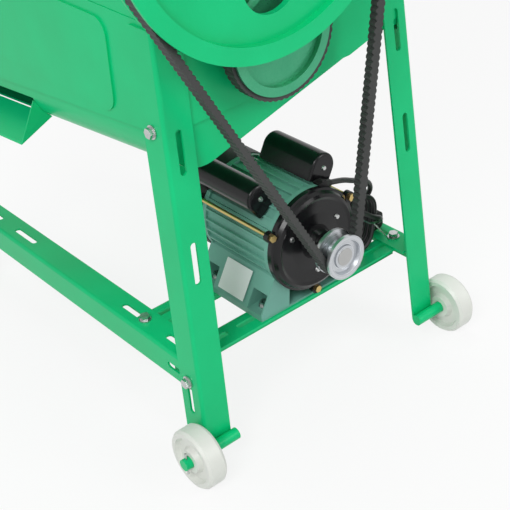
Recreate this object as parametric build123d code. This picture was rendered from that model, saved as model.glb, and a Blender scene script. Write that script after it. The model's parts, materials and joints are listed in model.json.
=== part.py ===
from build123d import *
import os
from math import atan2, cos, degrees, hypot, radians, sin, sqrt, tan

# Electric corn sheller: a splayed angle-iron stand on two wheels and two feet carries a
# sheet-metal body with a toothed rotor in it, and a motor that drives the rotor by a V-belt.
# Millimetres. +Z is up, the floor is z = 0, +X points to the belt end, -Y is the grain side.

# Stand
leg_span = 620.0            # fold to fold of the front and rear legs, at rail height
rail_half = 203.5           # mid-plane to the outer face of a side rail
angle_w = 40.0              # angle iron, width of each flange
angle_t = 3.0
angle_bend = 5.0            # outer radius of the fold
rail_top = 153.2            # top face of the side rails
splay_x = 0.052             # how far a leg leans, per millimetre of height
splay_y = 0.039
front_lift = 37.0           # the front legs end this far above the floor
leg_top = 594.0
slot_l = 57.0
slot_w = 9.0
leg_slot_pitch = 145.0
leg_slot_z = 301.8          # centre of the lowest slot of the end flanges
rail_slot_pitch = 101.0
rail_slot_first = 65.0      # from the front fold back to the first slot of the side rails
cross_slot_y = 78.0
cross_slot_outer_y = 150.0
front_rail_x = 43.5         # from the front fold back to the middle of the front motor rail
bolt_r = 4.0
bolt_flange_r = 8.6
bolt_flange_t = 1.8
hex_r = 6.8
hex_h = 5.6
fit_gap = 0.3               # clearance between parts that move, and around loose fits
seat_gap = 0.05             # clearance of parts that sit on each other
run_gap = 0.08              # radial clearance of shafts in their bearings

# Wheels
wheel_r = 42.0
wheel_w = 30.0
wheel_bore = 8.5
axle_r = 8.0
axle_in = 168.0             # inner end of an axle, from the mid-plane
axle_out = 255.0
wheel_in = 215.0            # inner face of a wheel, from the mid-plane
pin_r = 1.5
pin_inset = 5.0             # split pin, from the axle's end
pin_l = 34.0

# Body
sheet = 2.0
plate = 4.0
casing_top = 600.0
crease_front = 471.0        # lap joint of casing and trough, at the front
trough_fall = 0.104         # how far the trough drops per millimetre towards the rear
trough_r = 50.0             # rounded edge along the grain side
round_up = 8.0              # the round's axis, below the front end of the crease
trough_rise = 14.5          # degrees, floor of the trough towards the far side
trough_lap = 12.0
lap_gap = 1.0               # trough inside the casing, clear of its rounded corners
ring_w = 25.0               # flange that closes the top of the casing
emboss_t = 2.5
emboss_front = 115.0        # from the front fold back to the pressed field
mouth_drop = 17.0           # upper edge of the grain mouth, below the crease
chute_front = 328.0         # from the front fold back to the chute's first side wall
chute_w = 230.0
chute_reach = 30.0          # how far the lip stands out from the trough
chute_slope = 23.0
chute_wall_top = 3.0        # below the mouth's upper edge

# Drum
rotor_y = -65.0
rotor_z = 737.0
shaft_r = 15.0
drum_r = 52.0
drum_wall = 4.0
drum_l = 500.0
tooth_tip_r = 88.0
tooth_w = 14.0
tooth_t = 9.0
tooth_rows = 6
teeth_per_row = 9
tooth_pitch = 54.0
screen_r = 100.0
screen_t = 3.0
screen_slot_l = 44.0
screen_slot_pitch = 52.0
screen_slot_w = 13.0
screen_slots_round = 7
screen_slot_turn = 20.0     # degrees between slots
cover_r = 116.0
flange_w = 19.0
cover_bolt_out = 9.3        # cover bolts, outside the cover's round
slide_slope = 25.0          # degrees, grain board under the screen
slide_drop = 112.0          # from the rotor's axis square down to the grain board

# Feed
throat_l = 190.0
throat_w = 140.0
throat_x = 150.0
throat_top = 878.0
gate_t = 3.0
gate_gap = 4.5
gate_handle_h = 22.0
hopper_l = 330.0
hopper_w = 300.0
hopper_top = 1052.0
hopper_rim = 10.0

# Cob outlet
outlet_y0 = -105.0
outlet_y1 = -25.0
outlet_z0 = 650.0
outlet_z1 = 700.0
outlet_l = 78.0
outlet_fall = 22.0
flap_t = 2.0
flap_pin_r = 2.5
flap_curl_r = 5.0

# Drives
belt_w = 17.0
belt_h = 10.5
belt_pitch_in = 4.0         # pitch line, below the belt's back
belt_angle = 19.0           # degrees, half of the wedge
motor_y = 12.4
motor_h = 90.0
motor_pitch_r = 26.0
driven_pitch_r = 190.5
fan_drive_pitch_r = 86.0
fan_pitch_r = 73.0
fan_y = -38.0
fan_z = 550.0
main_belt_x = 31.5          # forward of the front fold
fan_belt_x = 6.0
pulley_w = 26.0
fan_pulley_w = 20.0
driven_hub_r = 34.0
web_hole_r = 40.0
web_hole_at = 106.0
fan_belt_proud = 6.0        # the fan belt's back stands out of its pulleys
rim_over = 0.5              # the main belt's back lies under its pulleys' rims
fan_shaft_r = 10.0
fan_r = 56.0
fan_l = 470.0
bearing_l = 20.0
fan_bearing_l = 15.0
shaft_end = 1.2             # the fan shaft stands out of its pulley by this much

# Motor, foot-mounted frame 90
foot_a = 140.0
foot_b = 100.0
foot_hole_x = 43.5          # from the front fold back to the front foot holes
foot_hole_r = 5.0
foot_t = 9.0
foot_half = 90.0            # half of the base's whole width
foot_w = 48.0               # width of each side skirt at its foot
base_web = 3.0
housing_r = 67.0
fin_h = 4.0
fin_count = 30
housing_front = 26.0        # from the front fold back to the housing's front face
housing_l = 138.0
cover_flange_r = 72.0
ear_bolt_r = 76.5
ear_turns = (27, 153, 270)  # degrees from +Y, through-bolts of the motor
ear_r = 7.5
cowl_l = 56.0
motor_shaft_r = 12.0
cap_w = 39.0
cap_in = 71.1               # from the motor's axis to a capacitor cover's base
cap_out = 112.0
cap_far_turn = 61.0         # degrees from +Y
cap_near_turn = 127.0
cap_far_span = (40.0, 142.0)
cap_near_span = (50.0, 162.0)

# Power cord
cord_d = 7.5
gland_r = 8.0
gland_l = 22.0
plug_size = (36.0, 27.0, 27.0)
cord_route = [(276.0, 60.0, 299.5), (273.5, 77.0, 294.0), (268.0, 95.0, 285.5),
              (262.5, 113.0, 274.5), (257.0, 130.0, 266.0), (252.0, 146.0, 257.0),
              (247.5, 159.0, 245.0), (243.5, 164.0, 231.0), (239.0, 158.5, 219.0)]
lead_route = [(260.5, 153.0, 197.0), (259.0, 165.0, 191.0), (252.0, 173.5, 182.0),
              (243.5, 179.0, 172.5), (235.0, 180.5, 167.0)]
plug_y = 180.5
hank_c = (249.5, 133.0)
hank_w = 52.5
hank_h = 88.0
hank_turns = 3
hank_lean = 14.0
tie_r = 0.9
tie_z = 45.0                # above the motor rails

front_x = leg_span / 2
cross_top = rail_top - angle_t
motor_z = cross_top + motor_h
trough_half = rail_half - splay_y * (crease_front + trough_lap - rail_top) - sheet - lap_gap
out_dir = "parts"


def block(x0, x1, y0, y1, z0, z1):
    return Pos((x0 + x1) / 2, (y0 + y1) / 2, (z0 + z1) / 2) * Box(x1 - x0, y1 - y0, z1 - z0)


def rod(r, x0, x1, y, z):
    return Pos((x0 + x1) / 2, y, z) * Rot(0, 90, 0) * Cylinder(r, x1 - x0)


def rod_y(r, y0, y1, x, z):
    return Pos(x, (y0 + y1) / 2, z) * Rot(90, 0, 0) * Cylinder(r, y1 - y0)


def rod_z(r, z0, z1, x, y):
    return Pos(x, y, (z0 + z1) / 2) * Cylinder(r, z1 - z0)


def yz_face(points, x):
    """Closed outline given as (y, z) points, in the plane at x."""
    return make_face(Polyline([Vector(x, y, z) for y, z in points], close=True))


def slot(length, width, depth):
    """Slot cutter that runs along its own X and cuts along its own Z."""
    return extrude(SlotOverall(length, width), depth / 2, both=True)


# Stand


def angle_section(sx, sy):
    """Angle-iron section with its fold on the origin; flanges run towards -sx and -sy."""
    w, t = angle_w, angle_t
    outline = Polyline((0, 0), (-w, 0), (-w, -t), (-t, -t), (-t, -w), (0, -w), close=True)
    face = make_face(outline)
    corner = face.vertices().sort_by_distance((0, 0))[0]
    face = fillet(corner, angle_bend)
    inner = face.vertices().sort_by_distance((-t, -t))[0]
    face = fillet(inner, angle_bend - t)
    if sx < 0:
        face = mirror(face, Plane.YZ)
    if sy < 0:
        face = mirror(face, Plane.XZ)
    return face


def fold_point(sx, sy, z):
    """Where the fold of a leg is at height z."""
    rise = z - rail_top
    return Vector(sx * (front_x - splay_x * rise),
                  sy * (rail_half + angle_t - splay_y * rise), z)


def leg(sx, sy, bottom, end_slots, side_slots):
    foot = fold_point(sx, sy, bottom)
    head = fold_point(sx, sy, leg_top)
    body = extrude(Pos(*foot) * angle_section(sx, sy), amount=(head - foot).length,
                   dir=head - foot)
    for z in end_slots:
        p = fold_point(sx, sy, z)
        turn = Rot(degrees(atan2(splay_y, 1)) * sy, 0, 0)
        body -= Pos(p.X, p.Y - sy * angle_w / 2, z) * turn * Rot(0, 90, 0) * slot(slot_l, slot_w, 20)
    for z in side_slots:
        p = fold_point(sx, sy, z)
        turn = Rot(0, -degrees(atan2(splay_x, 1)) * sx, 0)
        cutter = Rot(90, 0, 0) * Rot(0, 0, 90) * slot(slot_l, slot_w, 20)
        body -= Pos(p.X - sx * side_hole_in, p.Y, z) * turn * cutter
    p = fold_point(sx, sy, casing_bolt_z)
    body -= rod_y(bolt_r + 0.5, p.Y - 15, p.Y + 15, p.X - sx * side_hole_in, casing_bolt_z)
    return body


def side_rail(sy):
    """Angle rail with its top flange inwards, bolted inside the legs."""
    w, t = angle_w, angle_t
    end = front_x - angle_t - angle_bend / 2
    section = make_face(Polyline((0, 0), (-w, 0), (-w, -t), (-t, -t), (-t, -w), (0, -w), close=True))
    section = fillet(section.vertices().sort_by_distance((0, 0))[0], angle_bend)
    section = fillet(section.vertices().sort_by_distance((-t, -t))[0], angle_bend - t)
    body = extrude(Plane.YZ * section, end, both=True)
    if sy < 0:
        body = mirror(body, Plane.XZ)
    body = Pos(0, sy * rail_half, rail_top) * body
    for x in rail_slot_places():
        body -= Pos(x, sy * (rail_half - w / 2), rail_top) * slot(slot_l, slot_w, 12)
    for x in (front_x - side_hole_in - 20, side_hole_in + 20 - front_x):
        cutter = Rot(90, 0, 0) * slot(slot_l, slot_w, 12)
        body -= Pos(x, sy * rail_half, rail_bolt_z) * cutter
    for x in (front_rail, rear_rail):
        body -= rod_z(bolt_r + 0.5, rail_top - 10, rail_top + 5, x, sy * (rail_half - w / 2))
    return body


def rail_slot_places():
    """Two slots at each end of a side rail."""
    first = front_x - rail_slot_first
    second = first - rail_slot_pitch
    return [first, second, -second, -first]


def motor_rail(x):
    """Angle across the stand under the side rails, with its upright flange at the rear."""
    w, t = angle_w, angle_t
    half = rail_half - t - angle_bend / 2
    section = make_face(Polyline((0, 0), (w, 0), (w, -t), (t, -t), (t, -w), (0, -w), close=True))
    section = fillet(section.vertices().sort_by_distance((0, 0))[0], angle_bend)
    section = fillet(section.vertices().sort_by_distance((t, -t))[0], angle_bend - t)
    body = Pos(x - w / 2, 0, cross_top) * extrude(Plane.XZ * section, half, both=True)
    for y in (cross_slot_y, cross_slot_outer_y, -cross_slot_y, -cross_slot_outer_y):
        body -= Pos(x, y, cross_top) * Rot(0, 0, 90) * slot(slot_l, slot_w, 12)
    for side in (1, -1):
        body -= rod_z(bolt_r + 0.5, cross_top - 10, cross_top + 5, x,
                      side * (rail_half - w / 2))
    return body


def bolt(grip):
    """Hex flange bolt with its nut: the head lies on z = 0 and the grip runs to -grip."""
    head = Cylinder(bolt_flange_r, bolt_flange_t, align=(Align.CENTER, Align.CENTER, Align.MIN))
    head += Pos(0, 0, bolt_flange_t) * extrude(RegularPolygon(hex_r, 6), hex_h)
    shank = Pos(0, 0, -grip - hex_h - 3) * Cylinder(
        bolt_r, grip + hex_h + 3, align=(Align.CENTER, Align.CENTER, Align.MIN))
    nut = Pos(0, 0, -grip - hex_h) * extrude(RegularPolygon(hex_r, 6), hex_h)
    return head + shank + nut


front_rail = front_x - front_rail_x
rear_rail = front_x - foot_hole_x - foot_b
side_hole_in = 22.0         # slots and holes of the side flanges, from the fold
rail_bolt_z = 130.5
casing_bolt_z = 473.0


def leg_bolt_places(z):
    """Bolts through the legs' side flanges at height z: x, y of the flange, both signs."""
    places = []
    for sx in (1, -1):
        for sy in (1, -1):
            p = fold_point(sx, sy, z)
            places.append((p.X - sx * side_hole_in, p.Y, sx, sy))
    return places


def wheel(sy):
    """Moulded wheel with a dished web, a rounded tread and a hub."""
    half = wheel_w / 2
    profile = Polyline((wheel_bore, -half), (16, -half), (19, -half + 7), (30, -half + 7),
                       (33, -half + 1), (wheel_r - 3, -half + 1), (wheel_r, -half + 5),
                       (wheel_r, half - 5), (wheel_r - 3, half - 1), (33, half - 1),
                       (30, half - 7), (19, half - 7), (16, half), (wheel_bore, half), close=True)
    face = make_face(profile)
    body = revolve(face, Axis.Y)
    return Pos(axle_x, sy * (wheel_in + half), wheel_r) * body


def axle(sy):
    y0, y1 = sorted((sy * axle_in, sy * axle_out))
    body = rod_y(axle_r, y0, y1, axle_x, wheel_r)
    body -= rod_z(pin_r + 0.2, wheel_r - 20, wheel_r + 20, axle_x, sy * (axle_out - pin_inset))
    return body


axle_x = fold_point(1, 1, wheel_r + axle_r).X + splay_x * 2 * axle_r + axle_r + seat_gap


def split_pins():
    return [rod_z(pin_r, wheel_r - pin_l / 2, wheel_r + pin_l / 2, axle_x, sy * (axle_out - pin_inset))
            for sy in (1, -1)]


# Body


def casing_half(z, inset):
    """Half length and half width of the splayed casing at height z."""
    rise = z - rail_top
    return (front_x - splay_x * rise - angle_t - 0.2 - inset,
            rail_half - splay_y * rise - 0.2 - inset)


def frustum(z0, z1, inset):
    lower, upper = casing_half(z0, inset), casing_half(z1, inset)
    r = angle_bend - inset
    return loft([Pos(0, 0, z0) * RectangleRounded(2 * lower[0], 2 * lower[1], r),
                 Pos(0, 0, z1) * RectangleRounded(2 * upper[0], 2 * upper[1], r)])


def crease_z(x):
    return crease_front - trough_fall * (trough_x - x)


trough_x = front_x - angle_t - splay_x * (crease_front + trough_lap - rail_top) - sheet - lap_gap
floor_start_y = -trough_half + trough_r + trough_r * sin(radians(trough_rise))
round_z = crease_front - round_up      # height of the round's axis, at the front
floor_start_z = round_z - trough_r * cos(radians(trough_rise))


def floor_z(y):
    return floor_start_z + (y - floor_start_y) * tan(radians(trough_rise))


def trough_face(x, inset, top):
    """Section of the trough in the plane at x = trough_x: near wall, round, floor, far wall."""
    y0 = -trough_half + inset
    y1 = trough_half - inset
    c = Vector(x, -trough_half + trough_r, round_z)
    r = trough_r - inset
    turn = radians(trough_rise)
    start = Vector(x, y0, round_z)
    mid = c + Vector(0, -r * cos(radians(52)), -r * sin(radians(52)))
    end = c + Vector(0, r * sin(turn), -r * cos(turn))
    far_z = floor_z(trough_half) + inset * (1 / cos(turn) - tan(turn))
    edges = [ThreePointArc(start, mid, end),
             Polyline(end, (x, y1, far_z), (x, y1, crease_front + top), (x, y0, crease_front + top), start)]
    return make_face(Curve() + edges)


def along(face, x0, x1):
    """Extrude a section from x0 to x1 down the trough's fall."""
    run = Vector(x1 - x0, 0, (x1 - x0) * trough_fall)
    return extrude(face, amount=run.length, dir=run)


def grain_trough():
    length = 2 * trough_x
    outer = along(trough_face(trough_x, 0, trough_lap), trough_x, trough_x - length)
    inner = along(trough_face(trough_x, sheet, trough_lap + 40), trough_x, trough_x - length)
    inner &= block(-trough_x + sheet, trough_x - sheet, -300, 300, 200, 700)
    body = outer - inner
    for x, y, sx, sy in leg_bolt_places(casing_bolt_z):
        if sx > 0:
            body -= rod_y(bolt_r + 1.5, y - 20, y + 20, x, casing_bolt_z)
    return body - grain_mouth()


def grain_mouth():
    """Opening in the near wall that the chute takes up."""
    x1 = front_x - chute_front
    x0 = x1 - chute_w
    top = crease_front - mouth_drop
    low_y = -trough_half + trough_r - trough_r * sin(radians(32))
    low_z = round_z - trough_r * cos(radians(32)) + 1
    outline = [(-trough_half - 20, top), (-trough_half + 25, top), (low_y + 14, low_z),
               (-trough_half - 20, low_z - 10)]
    face = yz_face(outline, trough_x)
    cutter = along(face, trough_x, -trough_x)
    return cutter & block(x0 + sheet, x1 - sheet, -300, 0, 200, 700)


def kernel_chute():
    """Bent pan under the mouth, with a triangular wall at each end."""
    x1 = front_x - chute_front
    x0 = x1 - chute_w
    slope = radians(chute_slope)
    low_y = -trough_half + trough_r - trough_r * sin(radians(32)) - 1.2
    low_z = round_z - trough_r * cos(radians(32)) - 1.2
    tip_y = -trough_half - chute_reach
    tip_z = low_z - (low_y - tip_y) * tan(slope)
    top_y = -trough_half - fit_gap
    top_z = crease_front - mouth_drop - chute_wall_top
    outer = along(yz_face([(low_y, low_z), (tip_y, tip_z), (top_y, top_z)], trough_x),
                  trough_x, -trough_x)
    inner = along(yz_face([(low_y + 30, low_z + sheet + 30 * tan(slope)),
                           (tip_y - 10, tip_z + sheet - 10 * tan(slope)),
                           (tip_y - 10, top_z + 40), (low_y + 30, top_z + 40)], trough_x),
                  trough_x, -trough_x)
    body = outer & block(x0, x1, -320, 0, 200, 700)
    body -= inner & block(x0 + sheet, x1 - sheet, -320, 0, 200, 700)
    clear = along(trough_face(trough_x, -seat_gap, trough_lap), trough_x, -trough_x)
    return body - clear


def lower_casing():
    """Splayed sheet skirt between the legs, cut along the falling lap joint."""
    z0 = crease_front - 120
    body = frustum(z0, casing_top, 0) - frustum(z0 - 20, casing_top + 20, sheet)
    keep = along(yz_face([(-300, crease_front), (300, crease_front), (300, 900), (-300, 900)],
                         trough_x + 60), trough_x + 60, -trough_x - 80)
    keep = Pos(0, 0, trough_fall * 60) * keep
    body &= keep
    under = yz_face([(floor_start_y, floor_start_z - 0.2), (300, floor_z(300) - 0.2),
                     (300, 200), (floor_start_y, 200)], trough_x + 60)
    under = Pos(0, 0, trough_fall * 60) * along(under, trough_x + 60, -trough_x - 80)
    body -= under
    ring = frustum(casing_top - sheet, casing_top, sheet / 2)
    half = casing_half(casing_top, ring_w)
    ring -= block(-half[0], half[0], -half[1], half[1], casing_top - 20, casing_top + 20)
    body += ring
    body += side_field()
    for x, y, sx, sy in leg_bolt_places(casing_bolt_z):
        body -= rod_y(bolt_r + 0.5, y - 15, y + 15, x, casing_bolt_z)
    return body - rod(fan_shaft_r + 4, -front_x, front_x, fan_y, fan_z)


def side_field():
    """Pressed field on the grain side, with a rounded front end."""
    x1 = front_x - emboss_front
    x0 = -front_x + 62
    z0, z1 = crease_z(x1) + 8, casing_top - 14
    turn = degrees(atan2(splay_y, 1))
    y = -casing_half(z0, 0)[1]
    field = fillet(Rectangle(x1 - x0, z1 - z0).vertices(), 22)
    field = extrude(field, emboss_t)
    field = Pos((x0 + x1) / 2, y, z0) * Rot(-turn, 0, 0) * Pos(0, 0, (z1 - z0) / 2) * Rot(90, 0, 0) * field
    return field


casing_half_top = casing_half(casing_top, 0)
end_x = casing_half_top[0] - 0.5
panel_drop = 26.0           # upright strip of the side panels, under their flanges


def panel_line(sy):
    """Outer line of a side panel, from the casing's edge up to the cover's, as (y, z)."""
    edge = rotor_y + sy * cover_r
    return [(sy * (casing_half_top[1] - 1), casing_top + 0.1), (edge, rotor_z - panel_drop),
            (edge, rotor_z - 0.1)]


def end_outline():
    """Outline of the upper body: the panels below and the cover's round above."""
    near, far = panel_line(-1), panel_line(1)
    top = Vector(0, rotor_y, rotor_z + cover_r)
    a, b = Vector(0, *near[2]), Vector(0, *far[2])
    edges = [ThreePointArc(a, top, b),
             Polyline([Vector(0, *q) for q in far[::-1] + near])]
    return make_face(Curve() + edges)


def drum_end(sx):
    """End plate that carries the rotor's bearing, with a foot bent over the casing's ring."""
    a, b = sorted((sx * (end_x - plate), sx * end_x))
    face = Pos(a, 0, 0) * offset(end_outline(), -(sheet + 0.3))
    body = extrude(face, amount=b - a, dir=(1, 0, 0))
    body -= rod(shaft_r + 6, a - 5, b + 5, rotor_y, rotor_z)
    if sx < 0:
        body -= block(a - 5, b + 5, outlet_y0, outlet_y1, outlet_z0, outlet_z1)
    half = casing_half_top[1] - ring_w
    c, d = sorted((sx * (end_x - ring_w), sx * end_x))
    z0 = casing_top + seat_gap
    body += block(c, d, -half, half, z0, z0 + plate)
    return body


def panel(points):
    """Bent side sheet between the casing and the cover's edge, as long as the body."""
    return extrude(yz_face(points, -end_x), amount=2 * end_x, dir=(1, 0, 0))


def side_panel(sy):
    """Side sheet with a flange under the cover's."""
    line = panel_line(sy)
    low, mid, top = line
    run = hypot(mid[0] - low[0], mid[1] - low[1])
    t_y = -sy * sheet * run / (mid[1] - low[1])
    knee = mid[1] - sheet * abs(mid[0] - low[0]) / (run + mid[1] - low[1])
    wall = panel([low, mid, top, (top[0] - sy * sheet, top[1]), (mid[0] - sy * sheet, knee),
                  (low[0] + t_y, low[1])])
    y0, y1 = sorted((top[0] - sy * sheet, top[0] + sy * flange_w))
    wall += block(-end_x, end_x, y0, y1, top[1] - sheet, top[1])
    for x in cover_bolt_x():
        wall -= rod_z(bolt_r + 0.5, top[1] - 10, top[1] + 10, x, rotor_y + sy * (cover_r + cover_bolt_out))
    return wall


def cover_bolt_x():
    return (end_x - 40, -end_x + 40)


def drum_cover():
    """Half-round cover with side flanges and the feed opening."""
    outer = rod(cover_r, -end_x, end_x, rotor_y, rotor_z)
    outer -= rod(cover_r - sheet, -end_x - 5, end_x + 5, rotor_y, rotor_z)
    body = outer & block(-end_x, end_x, rotor_y - 200, rotor_y + 200, rotor_z + 0.1, rotor_z + 200)
    for sy in (1, -1):
        y0, y1 = sorted((rotor_y + sy * (cover_r - 1), rotor_y + sy * (cover_r + flange_w)))
        body += block(-end_x, end_x, y0, y1, rotor_z + 0.1, rotor_z + 0.1 + sheet)
        for x in cover_bolt_x():
            body -= rod_z(bolt_r + 0.5, rotor_z - 10, rotor_z + 15, x,
                          rotor_y + sy * (cover_r + cover_bolt_out))
    l, w = throat_l / 2 - sheet, throat_w / 2 - sheet
    body -= block(throat_x - l, throat_x + l, rotor_y - w, rotor_y + w, rotor_z + 40, rotor_z + 200)
    return body


def concave_screen():
    """Half-round screen with rows of slots and an edge flange on each side."""
    x1 = end_x - plate - fit_gap
    body = rod(screen_r + screen_t, -x1, x1, rotor_y, rotor_z)
    body -= rod(screen_r, -x1 - 5, x1 + 5, rotor_y, rotor_z)
    body &= block(-x1, x1, rotor_y - 200, rotor_y + 200, rotor_z - 200, rotor_z - 0.5)
    for sy in (1, -1):
        y0, y1 = sorted((rotor_y + sy * (screen_r + 1), rotor_y + sy * (cover_r - sheet - 6)))
        body += block(-x1, x1, y0, y1, rotor_z - 0.5 - screen_t, rotor_z - 0.5)
    count = int((2 * x1 - 30) // screen_slot_pitch)
    first = -(count - 1) * screen_slot_pitch / 2
    cutter = Pos(0, 0, -screen_r) * Box(screen_slot_l, screen_slot_w, 20)
    for k in range(screen_slots_round):
        turn = (k - (screen_slots_round - 1) / 2) * screen_slot_turn
        for i in range(count):
            x = first + i * screen_slot_pitch
            body -= Pos(x, rotor_y, rotor_z) * Rot(turn, 0, 0) * cutter
    return body


def grain_board():
    """Sloping sheet that leads the grain from under the screen to the near side."""
    a = radians(slide_slope)
    n = Vector(0, -sin(a), cos(a))
    u = Vector(0, cos(a), sin(a))
    p = Vector(0, rotor_y, rotor_z) - n * slide_drop
    x1 = end_x - ring_w - fit_gap
    far = panel_gap_far(p, u)
    near = (-135 - p.Y) / u.Y
    c = [p + u * near, p + u * far, p + u * far - n * sheet, p + u * near - n * sheet]
    return extrude(yz_face([(q.Y, q.Z) for q in c], -x1), amount=2 * x1, dir=(1, 0, 0))


def panel_gap_far(p, u):
    """Distance along the board to the inside of the far panel."""
    low, top = [Vector(0, *q) for q in panel_line(1)[:2]]
    d = top - low
    cross = u.Y * d.Z - u.Z * d.Y
    s = ((low.Y - p.Y) * d.Z - (low.Z - p.Z) * d.Y) / cross
    gap = (sheet + fit_gap) / abs(cross) * d.length
    return s - gap


# Feed and outlet


def box_ring(l, w, t, z0, z1):
    cx, cy = throat_x, rotor_y
    outer = block(cx - l / 2, cx + l / 2, cy - w / 2, cy + w / 2, z0, z1)
    l, w = l - 2 * t, w - 2 * t
    return outer - block(cx - l / 2, cx + l / 2, cy - w / 2, cy + w / 2, z0 - 1, z1 + 1)


def feed_throat():
    """Square neck on the cover, with a flange and the gate's side guides."""
    body = box_ring(throat_l, throat_w, sheet, rotor_z + 50, throat_top)
    body -= rod(cover_r + seat_gap, -end_x - 5, end_x + 5, rotor_y, rotor_z)
    top = throat_top
    body += box_ring(throat_l + 40, throat_w + 40, 20 + sheet, top - sheet, top)
    cx, cy = throat_x, rotor_y
    for s in (1, -1):
        x0, x1 = sorted((cx + s * (throat_l / 2 + 4), cx + s * (throat_l / 2 + 20)))
        body += block(x0, x1, cy - throat_w / 2 - 20, cy + throat_w / 2 + 20, top, top + gate_gap)
    body += block(cx - throat_l / 2 - 4, cx + throat_l / 2 + 4, cy + throat_w / 2 + 6,
                  cy + throat_w / 2 + 20, top, top + gate_gap)
    return body


def hopper_gate():
    """Slide plate in the throat's guides, with its pull edge bent up on the near side."""
    cx, cy = throat_x, rotor_y
    half = throat_l / 2 + 4 - 0.5
    z0 = throat_top + (gate_gap - gate_t) / 2
    y0 = cy - throat_w / 2 - 40
    y1 = cy + throat_w / 2 + 5
    body = block(cx - half, cx + half, y0, y1, z0, z0 + gate_t)
    body += block(cx - half, cx + half, y0, y0 + gate_t, z0 - gate_handle_h, z0 + gate_t)
    body -= rod_y(14, y0 - 5, y0 + 10, cx, z0 - gate_handle_h)
    return body


def feed_hopper():
    """Funnel on the gate's guides, folded from four sheets, with a turned rim."""
    z0 = throat_top + gate_gap + seat_gap
    cx, cy = throat_x, rotor_y
    body = box_ring(throat_l + 40, throat_w + 40, 20 + sheet, z0, z0 + sheet)
    low = Pos(cx, cy, z0) * Rectangle(throat_l, throat_w)
    high = Pos(cx, cy, hopper_top) * Rectangle(hopper_l, hopper_w)
    low_in = Pos(cx, cy, z0) * Rectangle(throat_l - 2 * sheet, throat_w - 2 * sheet)
    high_in = Pos(cx, cy, hopper_top) * Rectangle(hopper_l - 2 * sheet, hopper_w - 2 * sheet)
    funnel = loft([low, high]) - loft([low_in, high_in])
    rim = box_ring(hopper_l + 2 * hopper_rim, hopper_w + 2 * hopper_rim, hopper_rim + sheet,
                   hopper_top - sheet, hopper_top)
    body += funnel
    body += rim
    return body


def cob_outlet():
    """Square chute on the rear end plate that leads the bare cobs out, with hinge ears."""
    x1 = -end_x - seat_gap
    x0 = x1 - outlet_l
    outer = outlet_prism(x0, x1, 0)
    inner = outlet_prism(x0 - 5, x1 + 5, -sheet)
    body = outer - inner
    body += block(x1 - sheet, x1, outlet_y0 - 12, outlet_y1 + 12, outlet_z0 - 12, outlet_z1 + 6) - \
        outlet_prism(x0 - 5, x1 + 5, -sheet)
    for y0, y1 in ((outlet_y0, outlet_y0 + 8), (outlet_y1 - 8, outlet_y1)):
        body += block(x0 - 3, x0 + 8, y0, y1, hinge_z - 4, hinge_z + 4)
        body += rod_y(flap_curl_r, y0, y1, x0 - 3, hinge_z)
    body += rod_y(flap_pin_r, outlet_y0 - 4, outlet_y1 + 4, x0 - 3, hinge_z)
    return body


def outlet_prism(x0, x1, grow):
    """Sheared box along the outlet's fall."""
    base = -end_x - seat_gap
    k = outlet_fall / outlet_l
    y0, y1 = outlet_y0 - grow, outlet_y1 + grow
    z0, z1 = outlet_z0 - grow, outlet_z1 + grow
    pts = [(x0, z0 - k * (base - x0)), (x1, z0 - k * (base - x1)),
           (x1, z1 - k * (base - x1)), (x0, z1 - k * (base - x0))]
    face = make_face(Polyline([Vector(x, y0, z) for x, z in pts], close=True))
    return extrude(face, amount=y1 - y0, dir=(0, 1, 0))


hinge_z = outlet_z1 - outlet_fall + 4.5
hinge_x = -end_x - seat_gap - outlet_l - 3


def outlet_flap():
    """Door that hangs from the hinge pin over the outlet's mouth."""
    y0, y1 = outlet_y0 + 8 + fit_gap, outlet_y1 - 8 - fit_gap
    body = rod_y(flap_curl_r, y0, y1, hinge_x, hinge_z)
    door_x = hinge_x - flap_curl_r
    body += block(door_x, door_x + flap_t, y0, y1, hinge_z - 16, hinge_z)
    body += block(door_x, door_x + flap_t, outlet_y0 - 4, outlet_y1 + 4,
                  outlet_z0 - outlet_fall - 8, hinge_z - 8)
    body -= rod_y(flap_pin_r + fit_gap, y0 - 5, y1 + 5, hinge_x, hinge_z)
    return body


# Rotor and drives


def bearing(sx, r_bore, y, z, x, outer, length):
    """Two-bolt flange bearing on an end wall, with a round nose."""
    a, b = sorted((x, x + sx * length))
    c, d = sorted((x, x + sx * 9))
    flange = extrude(Plane.YZ * (Circle(outer + 2) + SlotCenterToCenter(2 * outer + 22, 24)), d - c)
    body = Pos(c, y, z) * flange
    body += rod(outer, a, b, y, z)
    body -= rod(r_bore, a - 5, b + 5, y, z)
    return body


def groove(pitch_r, over):
    """Half width of the groove at the rim and at its floor, and the two radii."""
    back = pitch_r + belt_pitch_in
    rim = back + over
    floor = back - belt_h - 0.8
    t = tan(radians(belt_angle))
    side = fit_gap / cos(radians(belt_angle))
    top = belt_w / 2 + side + (rim - back) * t
    return rim, floor, top, top - (rim - floor) * t


def pulley_profile(pitch_r, over, width, rim_t, hub_r, hub_w, bore, web_t):
    """Half section of a pulley in (x, r): hub, web, rim and groove."""
    rim, floor, top, low = groove(pitch_r, over)
    h = width / 2
    inner = floor - rim_t
    pts = [(-hub_w / 2, bore), (hub_w / 2, bore), (hub_w / 2, hub_r), (web_t / 2, hub_r),
           (web_t / 2, inner), (h, inner), (h, rim), (top, rim), (low, floor), (-low, floor),
           (-top, rim), (-h, rim), (-h, inner), (-web_t / 2, inner), (-web_t / 2, hub_r),
           (-hub_w / 2, hub_r)]
    return make_face(Polyline([Vector(x, 0, r) for x, r in pts], close=True))


def spun(face, x, y, z):
    return Pos(x, y, z) * revolve(face, Axis.X)


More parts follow.
